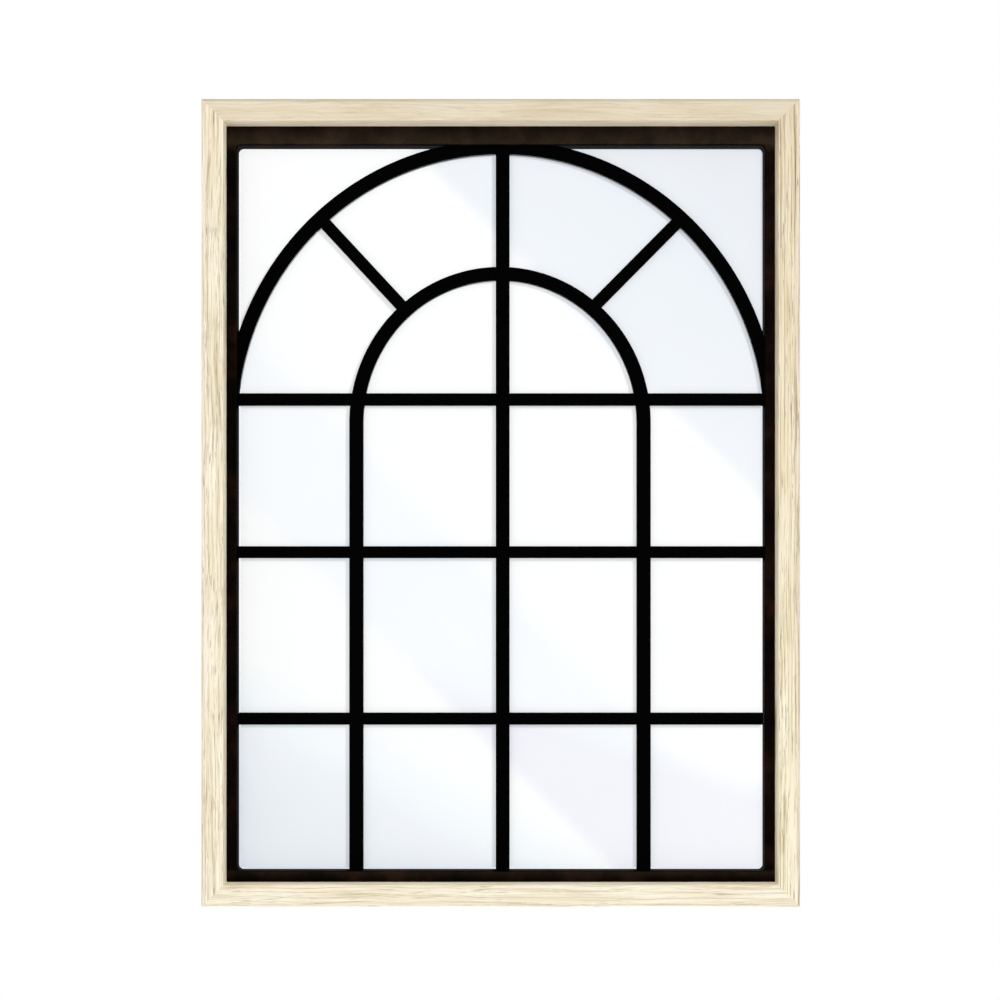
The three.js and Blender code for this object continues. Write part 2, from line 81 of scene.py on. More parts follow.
def add(tree, kind, inputs=None, stops=None, **settings):
    """Adds a node with its settings; each input is a value or the socket that it is linked from."""
    node = tree.nodes.new(kind)
    for key, value in settings.items():
        setattr(node, key, value)
    for key, value in (inputs or {}).items():
        if isinstance(value, bpy.types.NodeSocket):
            tree.links.new(value, node.inputs[key])
        else:
            node.inputs[key].default_value = value
    if stops:
        ramp = node.color_ramp
        while len(ramp.elements) < len(stops):
            ramp.elements.new(0.5)
        for element, (place, colour) in zip(ramp.elements, stops):
            element.position = place
            element.color = srgb(colour)
    return node


def new_material(name, **sockets):
    """A material with one Principled shader; its constants are given by socket name."""
    material = bpy.data.materials.new(name)
    material.use_nodes = True
    tree = material.node_tree
    tree.nodes.clear()
    inputs = {key.replace("_", " "): value for key, value in sockets.items()}
    shader = add(tree, "ShaderNodeBsdfPrincipled", inputs)
    add(tree, "ShaderNodeOutputMaterial", {"Surface": shader.outputs["BSDF"]})
    return material, tree, shader


def feed(shader, **sockets):
    """Links sockets to a shader's inputs, which are given by name."""
    for key, socket in sockets.items():
        shader.id_data.links.new(socket, shader.inputs[key.replace("_", " ")])


# ---- Materials ----

# How a member's grain looks: its sway and its streaks' length in millimetres, and its darkest
# colours
Figure = namedtuple("Figure", "sway streak_length streak late_wood pore")

# A member of the wooden frame: its node, its grain's axis, its turn about Y from the bottom rail's
# place, its face's tones at the low and the high end, which carry painted shade that differs from
# member to member, its arris's tone, which is painted shade on the outer rounding, its pattern's
# seed, and how strongly its figure shows
Member = namedtuple("Member", "node along turn tones arris seed contrast figure")


def pine(member, length, half):
    """Flat-sawn softwood under a thinly laid matt lacquer.

    The eye gets a warm cream face with wandering growth streaks, fine late-wood lines, short
    greyish pores in clusters and a slow change of tone, with painted shade that differs from member
    to member, and painted shade that greys the outer arris. length is the member's own along its
    grain, and half is the frame's half-size across it, where the arris lies.
    """
    material, tree, shader = new_material(
        f"lacquered_pine_{member.node}", Roughness=0.5, IOR=1.5, Specular_IOR_Level=0.25,
        Coat_Weight=0.06, Coat_Roughness=0.45)
    figure = member.figure
    place = add(tree, "ShaderNodeTexCoord").outputs["Object"]
    split = add(tree, "ShaderNodeSeparateXYZ", {"Vector": place})
    across = "Z" if member.along == "X" else "X"
    lengthwise = add(tree, "ShaderNodeCombineXYZ", {
        "X": split.outputs[member.along], "Y": split.outputs[across],
        "Z": split.outputs["Y"]}).outputs["Vector"]

    def pattern(texture, vector, mark_length, mark_width, start, inputs, **settings):
        """A texture whose marks have that length and width in mm, drawn out along the grain."""
        seed = member.seed
        space = add(tree, "ShaderNodeMapping", {
            "Vector": vector, "Location": (seed * start, seed * 1.7 * start, seed * 0.9),
            "Scale": (1 / (mark_length * MM), 1 / (mark_width * MM), 1 / (mark_width * MM))})
        return add(tree, texture, {"Vector": space.outputs["Vector"], **inputs}, **settings)

    # The grain sways a few millimetres to either side within about 120 mm
    sway = pattern("ShaderNodeTexNoise", lengthwise, 120, 45, 2.9, {"Scale": 1.0, "Detail": 1.0})
    centred = add(tree, "ShaderNodeVectorMath", {0: sway.outputs["Color"], 1: (0.5, 0.5, 0.5)},
                  operation="SUBTRACT")
    grain = add(tree, "ShaderNodeVectorMath", {
        0: centred.outputs["Vector"], 1: (0, figure.sway * MM, figure.sway * MM), 2: lengthwise},
        operation="MULTIPLY_ADD").outputs["Vector"]

    # Growth streaks 2.4 mm wide
    streaks = pattern("ShaderNodeTexNoise", grain, figure.streak_length, 2.4, 3.1, {
        "Scale": 1.0, "Detail": 4.0, "Roughness": 0.6})
    growth = add(tree, "ShaderNodeValToRGB", {"Fac": streaks.outputs["Fac"]}, stops=[
        (0.3, figure.streak), (0.42, "#efe5cd"), (0.52, "#fdf5e1"), (0.7, "#fffaea")])

    # Late-wood lines of rings 3.6 mm apart; they fade in and out along their length
    rings = pattern("ShaderNodeTexWave", grain, 40, 1, 5.3, {
        "Scale": WAVE_SPACING / 3.6, "Distortion": figure.sway / 2, "Detail": 3.0,
        "Detail Scale": 0.8, "Detail Roughness": 0.6},
        wave_type="RINGS", rings_direction="X", wave_profile="SAW")
    late = add(tree, "ShaderNodeValToRGB", {"Fac": rings.outputs["Fac"]}, stops=[
        (0.0, "#ffffff"), (0.74, "#ffffff"), (0.93, figure.late_wood), (1.0, "#ffffff")])
    fade = pattern("ShaderNodeTexNoise", grain, 70, 9, 7.9, {"Scale": 1.0, "Detail": 2.0})
    strength = add(tree, "ShaderNodeMapRange", {
        "Value": fade.outputs["Fac"], "From Min": 0.4, "From Max": 0.6})
    lined = add(tree, "ShaderNodeMix", {
        0: strength.outputs["Result"], 6: growth.outputs["Color"], 7: late.outputs["Color"]},
        data_type="RGBA", blend_type="MULTIPLY")

    # Pores 0.7 mm wide and some 22 mm long, gathered in clusters
    pores = pattern("ShaderNodeTexNoise", grain, 22, 0.7, 11.3, {
        "Scale": 1.0, "Detail": 2.0, "Roughness": 0.55, "Distortion": 0.3})
    pits = add(tree, "ShaderNodeValToRGB", {"Fac": pores.outputs["Fac"]}, stops=[
        (0.0, "#ffffff"), (0.36, "#d0d0d0"), (0.44, "#000000")])
    gathered = pattern("ShaderNodeTexNoise", grain, 70, 5, 13.7, {"Scale": 1.0, "Detail": 1.0})
    dense = add(tree, "ShaderNodeMapRange", {
        "Value": gathered.outputs["Fac"], "From Min": 0.38, "From Max": 0.55, "To Min": 0.2})
    pore_share = add(tree, "ShaderNodeMath", {
        0: pits.outputs["Color"], 1: dense.outputs["Result"]}, operation="MULTIPLY")
    pored = add(tree, "ShaderNodeMix", {
        0: pore_share.outputs[0], 6: lined.outputs[2], 7: srgb(figure.pore)}, data_type="RGBA")
    calmed = add(tree, "ShaderNodeMix", {
        0: member.contrast, 6: srgb("#fbf3e0"), 7: pored.outputs[2]}, data_type="RGBA")

    # Patches of tone some 90 mm long
    patches = pattern("ShaderNodeTexNoise", lengthwise, 90, 14, 1.9, {"Scale": 1.0})
    shade = add(tree, "ShaderNodeValToRGB", {"Fac": patches.outputs["Fac"]}, stops=[
        (0.3, "#f6f1e8"), (0.7, "#ffffff")])
    patched = add(tree, "ShaderNodeMix", {
        0: 1.0, 6: calmed.outputs[2], 7: shade.outputs["Color"]},
        data_type="RGBA", blend_type="MULTIPLY")

    # The face changes its tone from end to end, and its tones carry painted shade that differs from
    # member to member; its outer few millimetres take the arris's tone, which is painted shade
    low_end = -length / 2 if member.along == "X" else 0.0
    run = add(tree, "ShaderNodeMapRange", {
        "Value": split.outputs[member.along], "From Min": low_end, "From Max": low_end + length})
    face_tone_and_shade = add(tree, "ShaderNodeMix", {
        0: run.outputs["Result"], 6: srgb(member.tones[0]), 7: srgb(member.tones[1])},
        data_type="RGBA")
    middle = 0.0 if across == "X" else half
    off_middle = add(tree, "ShaderNodeMath", {0: split.outputs[across], 1: middle},
                     operation="SUBTRACT")
    outwards = add(tree, "ShaderNodeMath", {0: off_middle.outputs[0]}, operation="ABSOLUTE")
    # Painted shade on the outer rounding: the arris's tone takes over in the last few millimetres
    arris_shade = add(tree, "ShaderNodeMapRange", {
        "Value": outwards.outputs[0], "From Min": half - 4.2 * MM, "From Max": half - 0.8 * MM})
    tone = add(tree, "ShaderNodeMix", {
        0: arris_shade.outputs["Result"], 6: face_tone_and_shade.outputs[2], 7: srgb(member.arris)},
        data_type="RGBA")
    toned = add(tree, "ShaderNodeMix", {0: 1.0, 6: patched.outputs[2], 7: tone.outputs[2]},
                data_type="RGBA", blend_type="MULTIPLY")
    bump = add(tree, "ShaderNodeBump", {
        "Height": pore_share.outputs[0], "Strength": 0.35, "Distance": 0.08 * MM}, invert=True)
    feed(shader, Base_Color=toned.outputs[2], Normal=bump.outputs["Normal"])
    return material


def stained_board():
    """Fibreboard with an espresso brown stain and a soft sheen.

    The eye gets a nearly black brown, with painted light, a warmer lighter brown, along the top and
    the bottom next to the opening, and dull sawn edges.
    """
    material, tree, shader = new_material(
        "espresso_stained_fibreboard", IOR=1.5, Specular_IOR_Level=0.02)
    place = add(tree, "ShaderNodeTexCoord").outputs["Object"]
    # Stain clouds about 40 mm across, over fibres 1.5 mm long
    clouds = add(tree, "ShaderNodeTexNoise", {
        "Vector": place, "Scale": 1 / (40 * MM), "Detail": 3.0, "Roughness": 0.6})
    fibres = add(tree, "ShaderNodeTexNoise", {
        "Vector": place, "Scale": 1 / (1.5 * MM), "Detail": 2.0})
    stain = add(tree, "ShaderNodeValToRGB", {"Fac": clouds.outputs["Fac"]}, stops=[
        (0.35, "#020000"), (0.52, "#0a0402"), (0.68, "#1d0d08")])
    # Painted light along the top and the bottom: a warmer lighter brown next to the opening, which
    # darkens outwards as painted shade under the wooden lip. Each holds the heights where the
    # painted light begins, is fullest and ends, and its share at the last two
    painted_light_above = (OPENING_TOP - 7.5 * MM, OPENING_TOP + 2.5 * MM, OPENING_TOP + 19.5 * MM,
                     1.0, 0.05)
    painted_light_below = (OPENING_BOTTOM + 2 * MM, OPENING_BOTTOM, OPENING_BOTTOM - 11.5 * MM,
                     0.6, -0.3)
    split = add(tree, "ShaderNodeSeparateXYZ", {"Vector": place})
    height = split.outputs["Z"]
    painted_light_shares = []
    for start, full, outer, most, least in (painted_light_above, painted_light_below):
        begun = add(tree, "ShaderNodeMapRange", {
            "Value": height, "From Min": start, "From Max": full})
        falling = add(tree, "ShaderNodeMapRange", {
            "Value": height, "From Min": full, "From Max": outer, "To Min": most,
            "To Max": least})
        painted_light_shares.append(add(tree, "ShaderNodeMath", {
            0: begun.outputs["Result"], 1: falling.outputs["Result"]},
            operation="MULTIPLY").outputs[0])
    painted_light_share = add(tree, "ShaderNodeMath", {0: painted_light_shares[0], 1: painted_light_shares[1]}, operation="MAXIMUM")
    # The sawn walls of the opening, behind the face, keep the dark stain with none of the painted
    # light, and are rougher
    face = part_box("liner_frame")[0].y
    sawn = add(tree, "ShaderNodeMapRange", {
        "Value": split.outputs["Y"], "From Min": face + 0.2 * MM, "From Max": face + 0.5 * MM})
    share = add(tree, "ShaderNodeMath", {0: painted_light_share.outputs[0], 1: sawn.outputs["Result"]},
                operation="SUBTRACT", use_clamp=True)
    dull = add(tree, "ShaderNodeMapRange", {
        "Value": sawn.outputs["Result"], "To Min": 0.45, "To Max": 1.0})
    # The painted light's warmer, lighter browns
    painted_light_brown = add(tree, "ShaderNodeValToRGB", {"Fac": clouds.outputs["Fac"]}, stops=[
        (0.3, "#1b130d"), (0.5, "#271e16"), (0.7, "#31281e")])
    stain_and_painted_light = add(tree, "ShaderNodeMix", {
        0: share.outputs[0], 6: stain.outputs["Color"], 7: painted_light_brown.outputs["Color"]},
        data_type="RGBA")
    flecked = add(tree, "ShaderNodeMix", {
        0: 0.5, 6: stain_and_painted_light.outputs[2], 7: fibres.outputs["Fac"]},
        data_type="RGBA", blend_type="OVERLAY")
    bump = add(tree, "ShaderNodeBump", {
        "Height": fibres.outputs["Fac"], "Strength": 0.2, "Distance": 0.05 * MM})
    feed(shader, Base_Color=flecked.outputs[2], Roughness=dull.outputs["Result"],
         Normal=bump.outputs["Normal"])
    return material


def black_lacquer():
    """Matt black spray lacquer on fibreboard strips: the eye gets flat black with soft edges."""
    material, tree, shader = new_material(
        "matt_black_spray_lacquer", IOR=1.5, Specular_IOR_Level=0.005)
    place = add(tree, "ShaderNodeTexCoord").outputs["Object"]
    # Spray texture: droplets about 0.8 mm across
    droplets = add(tree, "ShaderNodeTexNoise", {
        "Vector": place, "Scale": 1 / (0.8 * MM), "Detail": 2.0, "Roughness": 0.5})
    black = add(tree, "ShaderNodeValToRGB", {"Fac": droplets.outputs["Fac"]}, stops=[
        (0.3, "#010101"), (0.7, "#030303")])
    dull = add(tree, "ShaderNodeMapRange", {
        "Value": droplets.outputs["Fac"], "To Min": 0.6, "To Max": 0.75})
    bump = add(tree, "ShaderNodeBump", {
        "Height": droplets.outputs["Fac"], "Strength": 0.15, "Distance": 0.03 * MM})
    feed(shader, Base_Color=black.outputs["Color"], Roughness=dull.outputs["Result"],
         Normal=bump.outputs["Normal"])
    return material


def silvered_glass():
    """Float glass silvered behind, with the faint milky film of a wiped mirror.

    The eye gets the room's light back almost unchanged, and soft shadows of the bars in the film.
    The film ends 3 mm short of the liner, where the glass is clean.
    """
    material, tree, shader = new_material("silvered_float_glass")
    place = add(tree, "ShaderNodeTexCoord").outputs["Object"]
    # Distance to the nearest side of the liner's opening
    split = add(tree, "ShaderNodeSeparateXYZ", {"Vector": place})
    aside = add(tree, "ShaderNodeMath", {0: split.outputs["X"]}, operation="ABSOLUTE")
    to_side = add(tree, "ShaderNodeMath", {0: OPENING_HALF_WIDTH, 1: aside.outputs[0]},
                  operation="SUBTRACT")
    to_bottom = add(tree, "ShaderNodeMath", {0: split.outputs["Z"], 1: OPENING_BOTTOM},
                    operation="SUBTRACT")
    to_top = add(tree, "ShaderNodeMath", {0: OPENING_TOP, 1: split.outputs["Z"]},
                 operation="SUBTRACT")
    nearest = to_side
    for distance in (to_bottom, to_top):
        nearest = add(tree, "ShaderNodeMath", {0: nearest.outputs[0], 1: distance.outputs[0]},
                      operation="MINIMUM")
    # Silver's share is 0.97 where the glass is clean, and 0.55 where the film covers it
    silver = add(tree, "ShaderNodeMapRange", {
        "Value": nearest.outputs[0], "From Min": 2.6 * MM, "From Max": 3.2 * MM,
        "To Min": 0.97, "To Max": 0.55})
    # Wiping marks some 60 mm across
    film = add(tree, "ShaderNodeTexNoise", {
        "Vector": place, "Scale": 1 / (60 * MM), "Detail": 2.0, "Distortion": 0.6})
    tint = add(tree, "ShaderNodeValToRGB", {"Fac": film.outputs["Fac"]}, stops=[
        (0.3, "#fdfeff"), (0.7, "#feffff")])
    haze = add(tree, "ShaderNodeMapRange", {
        "Value": film.outputs["Fac"], "To Min": 0.01, "To Max": 0.02})
    feed(shader, Base_Color=tint.outputs["Color"], Metallic=silver.outputs["Result"],
         Roughness=haze.outputs["Result"])
    return material


def brown_hardboard():
    """Pressed hardboard, smooth side out: mottled brown fibres with a slight polish."""
    material, tree, shader = new_material(
        "brown_hardboard", Roughness=0.62, IOR=1.5, Specular_IOR_Level=0.3)
    place = add(tree, "ShaderNodeTexCoord").outputs["Object"]
    # Wood fibres 1.8 mm long and clouds 70 mm across
    fibres = add(tree, "ShaderNodeTexNoise", {
        "Vector": place, "Scale": 1 / (1.8 * MM), "Detail": 6.0, "Roughness": 0.75,
        "Distortion": 0.3})
    clouds = add(tree, "ShaderNodeTexNoise", {
        "Vector": place, "Scale": 1 / (70 * MM), "Detail": 3.0})
    brown = add(tree, "ShaderNodeValToRGB", {"Fac": fibres.outputs["Fac"]}, stops=[
        (0.25, "#604229"), (0.45, "#8a6440"), (0.6, "#9c754e"), (0.8, "#b8946b")])
    cloud_tone = add(tree, "ShaderNodeValToRGB", {"Fac": clouds.outputs["Fac"]}, stops=[
        (0.3, "#ece7e1"), (0.7, "#ffffff")])
    mottled = add(tree, "ShaderNodeMix", {
        0: 1.0, 6: brown.outputs["Color"], 7: cloud_tone.outputs["Color"]},
        data_type="RGBA", blend_type="MULTIPLY")
    bump = add(tree, "ShaderNodeBump", {
        "Height": fibres.outputs["Fac"], "Strength": 0.3, "Distance": 0.1 * MM})
    feed(shader, Base_Color=mottled.outputs[2], Normal=bump.outputs["Normal"])
    return material


def bright_zinc():
    """Bright zinc plating on stamped steel: cool grey metal, faint clouds and fine scratches."""
    material, tree, shader = new_material("bright_zinc_plate", Metallic=1.0)
    place = add(tree, "ShaderNodeTexCoord").outputs["Object"]
    # Plating clouds 3 mm across; scratches drawn out to 4 mm, 0.15 to 0.3 mm wide
    clouds = add(tree, "ShaderNodeTexNoise", {
        "Vector": place, "Scale": 1 / (3 * MM), "Detail": 3.0})
    drawn = add(tree, "ShaderNodeMapping", {
        "Vector": place, "Rotation": (0, 0.6, 0),
        "Scale": (1 / (4 * MM), 1 / (0.3 * MM), 1 / (0.15 * MM))})
    scratches = add(tree, "ShaderNodeTexNoise", {"Vector": drawn.outputs["Vector"], "Scale": 1.0})
    plate = add(tree, "ShaderNodeValToRGB", {"Fac": clouds.outputs["Fac"]}, stops=[
        (0.3, "#b4b9bf"), (0.7, "#d3d6d8")])
    rough = add(tree, "ShaderNodeMapRange", {
        "Value": scratches.outputs["Fac"], "From Min": 0.3, "From Max": 0.7,
        "To Min": 0.24, "To Max": 0.42})
    bump = add(tree, "ShaderNodeBump", {
        "Height": scratches.outputs["Fac"], "Strength": 0.12, "Distance": 0.02 * MM})
    feed(shader, Base_Color=plate.outputs["Color"], Roughness=rough.outputs["Result"],
         Normal=bump.outputs["Normal"])
    return material


def nail_steel():
    """Bare blued steel of the corner nails: dark grey, with slightly brown patches."""
    material, tree, shader = new_material("blued_nail_steel", Metallic=1.0, Roughness=0.4)
    place = add(tree, "ShaderNodeTexCoord").outputs["Object"]
    # Patches 1.2 mm across
    bluing = add(tree, "ShaderNodeTexNoise", {
        "Vector": place, "Scale": 1 / (1.2 * MM), "Detail": 3.0})
    steel = add(tree, "ShaderNodeValToRGB", {"Fac": bluing.outputs["Fac"]}, stops=[
        (0.3, "#4c4a49"), (0.6, "#6c6d70"), (0.8, "#7d6a58")])
    feed(shader, Base_Color=steel.outputs["Color"])
    return material


def grey_elastomer():
    """Moulded grey rubber with the dusty bloom and fine pitting of a bumper pad."""
    material, tree, shader = new_material(
        "moulded_grey_rubber", IOR=1.5, Specular_IOR_Level=0.25)
    place = add(tree, "ShaderNodeTexCoord").outputs["Object"]
    # Pits 0.5 mm across
    pitting = add(tree, "ShaderNodeTexNoise", {
        "Vector": place, "Scale": 1 / (0.5 * MM), "Detail": 3.0})
    grey = add(tree, "ShaderNodeValToRGB", {"Fac": pitting.outputs["Fac"]}, stops=[
        (0.3, "#46474a"), (0.7, "#5c5d61")])
    dull = add(tree, "ShaderNodeMapRange", {
        "Value": pitting.outputs["Fac"], "To Min": 0.7, "To Max": 0.9})
    bump = add(tree, "ShaderNodeBump", {
        "Height": pitting.outputs["Fac"], "Strength": 0.3, "Distance": 0.05 * MM})
    feed(shader, Base_Color=grey.outputs["Color"], Roughness=dull.outputs["Result"],
         Normal=bump.outputs["Normal"])
    return material


LINER = stained_board()
LACQUER = black_lacquer()
GLASS = silvered_glass()
HARDBOARD = brown_hardboard()
ZINC = bright_zinc()
STEEL = nail_steel()
RUBBER = grey_elastomer()


# ---- Pieces ----

def finished(name, bm, material, body=ROOT, nodes=(), smooth=35):
    """Turns a bmesh into a piece that rides on a body and stands for its CAD nodes.

    Faces that meet at less than smooth degrees are shaded as one, and weighted normals keep the
    flat faces beside rounded edges flat to the eye.
    """
    bmesh.ops.recalc_face_normals(bm, faces=bm.faces)
    mesh = bpy.data.meshes.new(name)
    bm.to_mesh(mesh)
    bm.free()
    mesh.materials.append(material)
    mesh.shade_smooth()
    mesh.set_sharp_from_angle(angle=math.radians(smooth))
    piece = bpy.data.objects.new(name, mesh)
    bpy.context.scene.collection.objects.link(piece)
    piece.modifiers.new("flat_faces", "WEIGHTED_NORMAL").keep_sharp = True
    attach(piece, body)
    if nodes:
        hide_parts(*nodes)
    return piece


def soften(bm, arris, segments=2, sharper=25, chosen=None):
    """Rounds the sharp edges of a bmesh by arris millimetres, or only those that chosen accepts."""
    edges = [e for e in bm.edges if len(e.link_faces) == 2
             and e.calc_face_angle(0) > math.radians(sharper) and (chosen is None or chosen(e))]
    bmesh.ops.bevel(bm, geom=edges, offset=arris * MM, offset_type="OFFSET", segments=segments,
                    profile=0.5, affect="EDGES", clamp_overlap=True, material=-1)


def node_copy(node):
    """A CAD node's own shape as a bmesh of whole faces, ready to be softened."""
    bm = bmesh.new()
    bm.from_mesh(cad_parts[node].data)
    bmesh.ops.remove_doubles(bm, verts=bm.verts, dist=0.002 * MM)
    bmesh.ops.dissolve_limit(bm, angle_limit=math.radians(0.5), verts=bm.verts, edges=bm.edges,
                             delimit={"NORMAL"})
    return bm


# Wooden frame: each member is drawn as a section, run out to length, mitred and rounded. In
# millimetres: its roundings, how far each end is set back at a mitre, and the play in front of the
# liner and round the back board
OUTER_ROUND, INNER_ROUND, BACK_ROUND, CORNER_ROUND = 2.5, 0.8, 1.2, 0.06
MITRE_SEAM, LINER_PLAY, BOARD_PLAY = 0.03, 0.25, 1.2


def moulding(length):
    """One member lying along X with its outer edge on z = 0, in metres."""
    low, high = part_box("bottom_rail")
    lip = high.z
    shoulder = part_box("liner_frame")[0].y - LINER_PLAY * MM
    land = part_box("back_board")[0].z - BOARD_PLAY * MM
    section = [(low.y, 0), (low.y, lip), (shoulder, lip), (shoulder, land),
               (high.y, land), (high.y, 0)]
    bm = bmesh.new()
    face = bm.faces.new([bm.verts.new((-length / 2, y, z)) for y, z in section])
    run = bmesh.ops.extrude_face_region(bm, geom=[face])
    ends = [v for v in run["geom"] if isinstance(v, bmesh.types.BMVert)]
    bmesh.ops.translate(bm, verts=ends, vec=(length, 0, 0))
    for side in (-1, 1):
        cut = bmesh.ops.bisect_plane(
            bm, geom=bm.verts[:] + bm.edges[:] + bm.faces[:],
            plane_co=(side * (length / 2 - MITRE_SEAM * MM), 0, 0), plane_no=(side, 0, 1),
            clear_outer=True)
        rim = [e for e in cut["geom_cut"] if isinstance(e, bmesh.types.BMEdge)]
        bmesh.ops.contextual_create(bm, geom=rim)
    bmesh.ops.recalc_face_normals(bm, faces=bm.faces)

    def runs_at(y, z):
        return lambda e: (abs((e.verts[0].co - e.verts[1].co).normalized().x) > 0.99
                          and all(abs(v.co.y - y) < MM / 10 and abs(v.co.z - z) < MM / 10
                                  for v in e.verts))

    soften(bm, OUTER_ROUND, 8, chosen=runs_at(low.y, 0))
    soften(bm, INNER_ROUND, 4, chosen=runs_at(low.y, lip))
    soften(bm, BACK_ROUND, 4, chosen=runs_at(high.y, 0))
    soften(bm, CORNER_ROUND, 1, sharper=40)
    return bm


def wooden_frame():
    """Four members, all made as the bottom rail and turned about the frame's middle."""
    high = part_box("top_rail")[1].z
    width = 2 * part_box("right_stile")[1].x
    middle = Vector((0, 0, high / 2))
    mild = Figure(sway=8, streak_length=100, streak="#d2c5a7", late_wood="#cfc2a5",
                  pore="#94856a")
    bold = Figure(sway=5, streak_length=150, streak="#b7a67d", late_wood="#a8966f",
                  pore="#7c6a49")
    # The tones and arris tones hold painted shade: the top rail is darkest, the bottom rail palest
    for member in (
            Member("bottom_rail", "X", 0, ("#fbfbfa", "#f5f5f4"), "#ededed", 1, 0.75, mild),
            Member("top_rail", "X", math.pi, ("#e6e2dc", "#d9d5cd"), "#b9bab9", 2, 0.4, mild),
            Member("left_stile", "Z", math.pi / 2, ("#fdfdfd", "#f4f3f1"), "#eceef1", 3, 1.0, mild),
            Member("right_stile", "Z", -math.pi / 2, ("#fafaf6", "#e3ddd5"), "#e6e5e4", 4, 1.0,
                   bold)):
        length, across = (width, high) if member.along == "X" else (high, width)
        turn = Matrix.Rotation(member.turn, 3, "Y")
        bm = moulding(length)
        bmesh.ops.rotate(bm, verts=bm.verts, matrix=turn)
        bmesh.ops.translate(bm, verts=bm.verts, vec=middle + turn @ Vector((0, 0, -across / 2)))
        finished(f"pine_{member.node}", bm, pine(member, length, across / 2),
                 nodes=[member.node])


wooden_frame()


def dressed(node, material, arris, body=ROOT, stretch=None, longer=1.0):
    """A softened copy of a CAD node.

    stretch is the height of an end face and how far it moves up, to close a seam; longer grows the
    node about its middle.
    """
    bm = node_copy(node)
    low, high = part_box(node)
    bmesh.ops.scale(bm, verts=bm.verts, vec=(longer, 1, longer),
                    space=Matrix.Translation(-(low + high) / 2))
    if stretch:
        height, rise = stretch
        ends = [v for v in bm.verts if abs(v.co.z - height) < 0.01 * MM]
        bmesh.ops.translate(bm, verts=ends, vec=(0, 0, rise))
    soften(bm, arris)
    return finished(f"fine_{node}", bm, material, body=body, nodes=[node])


# Roundings in millimetres
LINER_ROUND, BOARD_ROUND, BAR_ROUND, BUTTON_ROUND, STRAP_ROUND = 0.25, 0.3, 0.15, 0.2, 0.15

dressed("liner_frame", LINER, LINER_ROUND)
dressed("back_board", HARDBOARD, BOARD_ROUND)

# Grille: the butt joints' seams are closed, as the lacquer closes them to the eye
SEAM = 0.27 * MM
SPOKE_GROWTH = 1.005
GRILLE = [dressed(bar, LACQUER, BAR_ROUND) for bar in (
    "lower_crossbar", "middle_crossbar", "upper_crossbar", "centre_mullion", "inner_arch")]
GRILLE += [dressed(bar, LACQUER, BAR_ROUND, stretch=(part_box(bar)[1].z, SEAM))
           for bar in ("left_mullion", "right_mullion")]
GRILLE += [dressed(bar, LACQUER, BAR_ROUND, longer=SPOKE_GROWTH)
           for bar in ("left_spoke", "right_spoke")]
GRILLE.append(dressed("outer_arch", LACQUER, BAR_ROUND,
                      stretch=(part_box("outer_arch")[0].z, -SEAM)))

# The glass keeps its own plate and only takes a finish
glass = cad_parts["mirror_glass"]
glass.data.materials.clear()
glass.data.materials.append(GLASS)


# ---- Back hardware ----

# In millimetres
HEAD_HEIGHT, HEAD_RADIUS, SHANK_RADIUS, POINT_LENGTH = 1.9, 3, 1.5, 4
RECESS_LENGTH, RECESS_WIDTH, CUTTER_HEIGHT, CUTTER_MIDDLE = 3.3, 0.75, 2.4, 2.0
WIRE_RADIUS, RING_HALF_WIDTH, RING_REACH, RING_BEND = 1.3, 6.7, 6, 1.5
BUMPER_HEIGHT, BUMPER_RADIUS, BUMPER_ROUND, FOOT_ROUND = 6.2, 5.5, 1.6, 0.3
NAIL_INSETS, NAIL_ARM, NAIL_FLARE, NAIL_DEPTH, NAIL_THICKNESS = (3.5, 8.2), 3.4, 0.35, 3, 0.5
NAIL_PROUD = 0.03

# From one screw to the next the recess stops this much further round, in radians
SCREW_TURN = 2.4


def turned(profile, steps):
    """A profile of (radius, height) in millimetres turned about the Y axis."""
    bm = bmesh.new()
    corners = [bm.verts.new((r * MM, h * MM, 0)) for r, h in profile]
    edges = [bm.edges.new(pair) for pair in zip(corners, corners[1:])]
    bmesh.ops.spin(bm, geom=corners + edges, cent=(0, 0, 0), axis=(0, 1, 0), dvec=(0, 0, 0),
                   angle=2 * math.pi, steps=steps, use_merge=True, use_duplicate=False)
    bmesh.ops.remove_doubles(bm, verts=bm.verts, dist=0.005 * MM)
    bmesh.ops.recalc_face_normals(bm, faces=bm.faces)
    return bm


def carved(body, cutter):
    """A bmesh less another; both are used up."""
    holders = []
    for bm in (body, cutter):
        mesh = bpy.data.meshes.new("rough")
        bm.to_mesh(mesh)
        bm.free()
        holders.append(bpy.data.objects.new("rough", mesh))
        bpy.context.scene.collection.objects.link(holders[-1])
    cut = holders[0].modifiers.new("cut", "BOOLEAN")
    cut.object, cut.operation, cut.solver = holders[1], "DIFFERENCE", "EXACT"
    shaped = holders[0].evaluated_get(bpy.context.evaluated_depsgraph_get())
    bm = bmesh.new()
    bm.from_mesh(shaped.to_mesh())
    shaped.to_mesh_clear()
    for holder in holders:
        bpy.data.objects.remove(holder)
    return bm


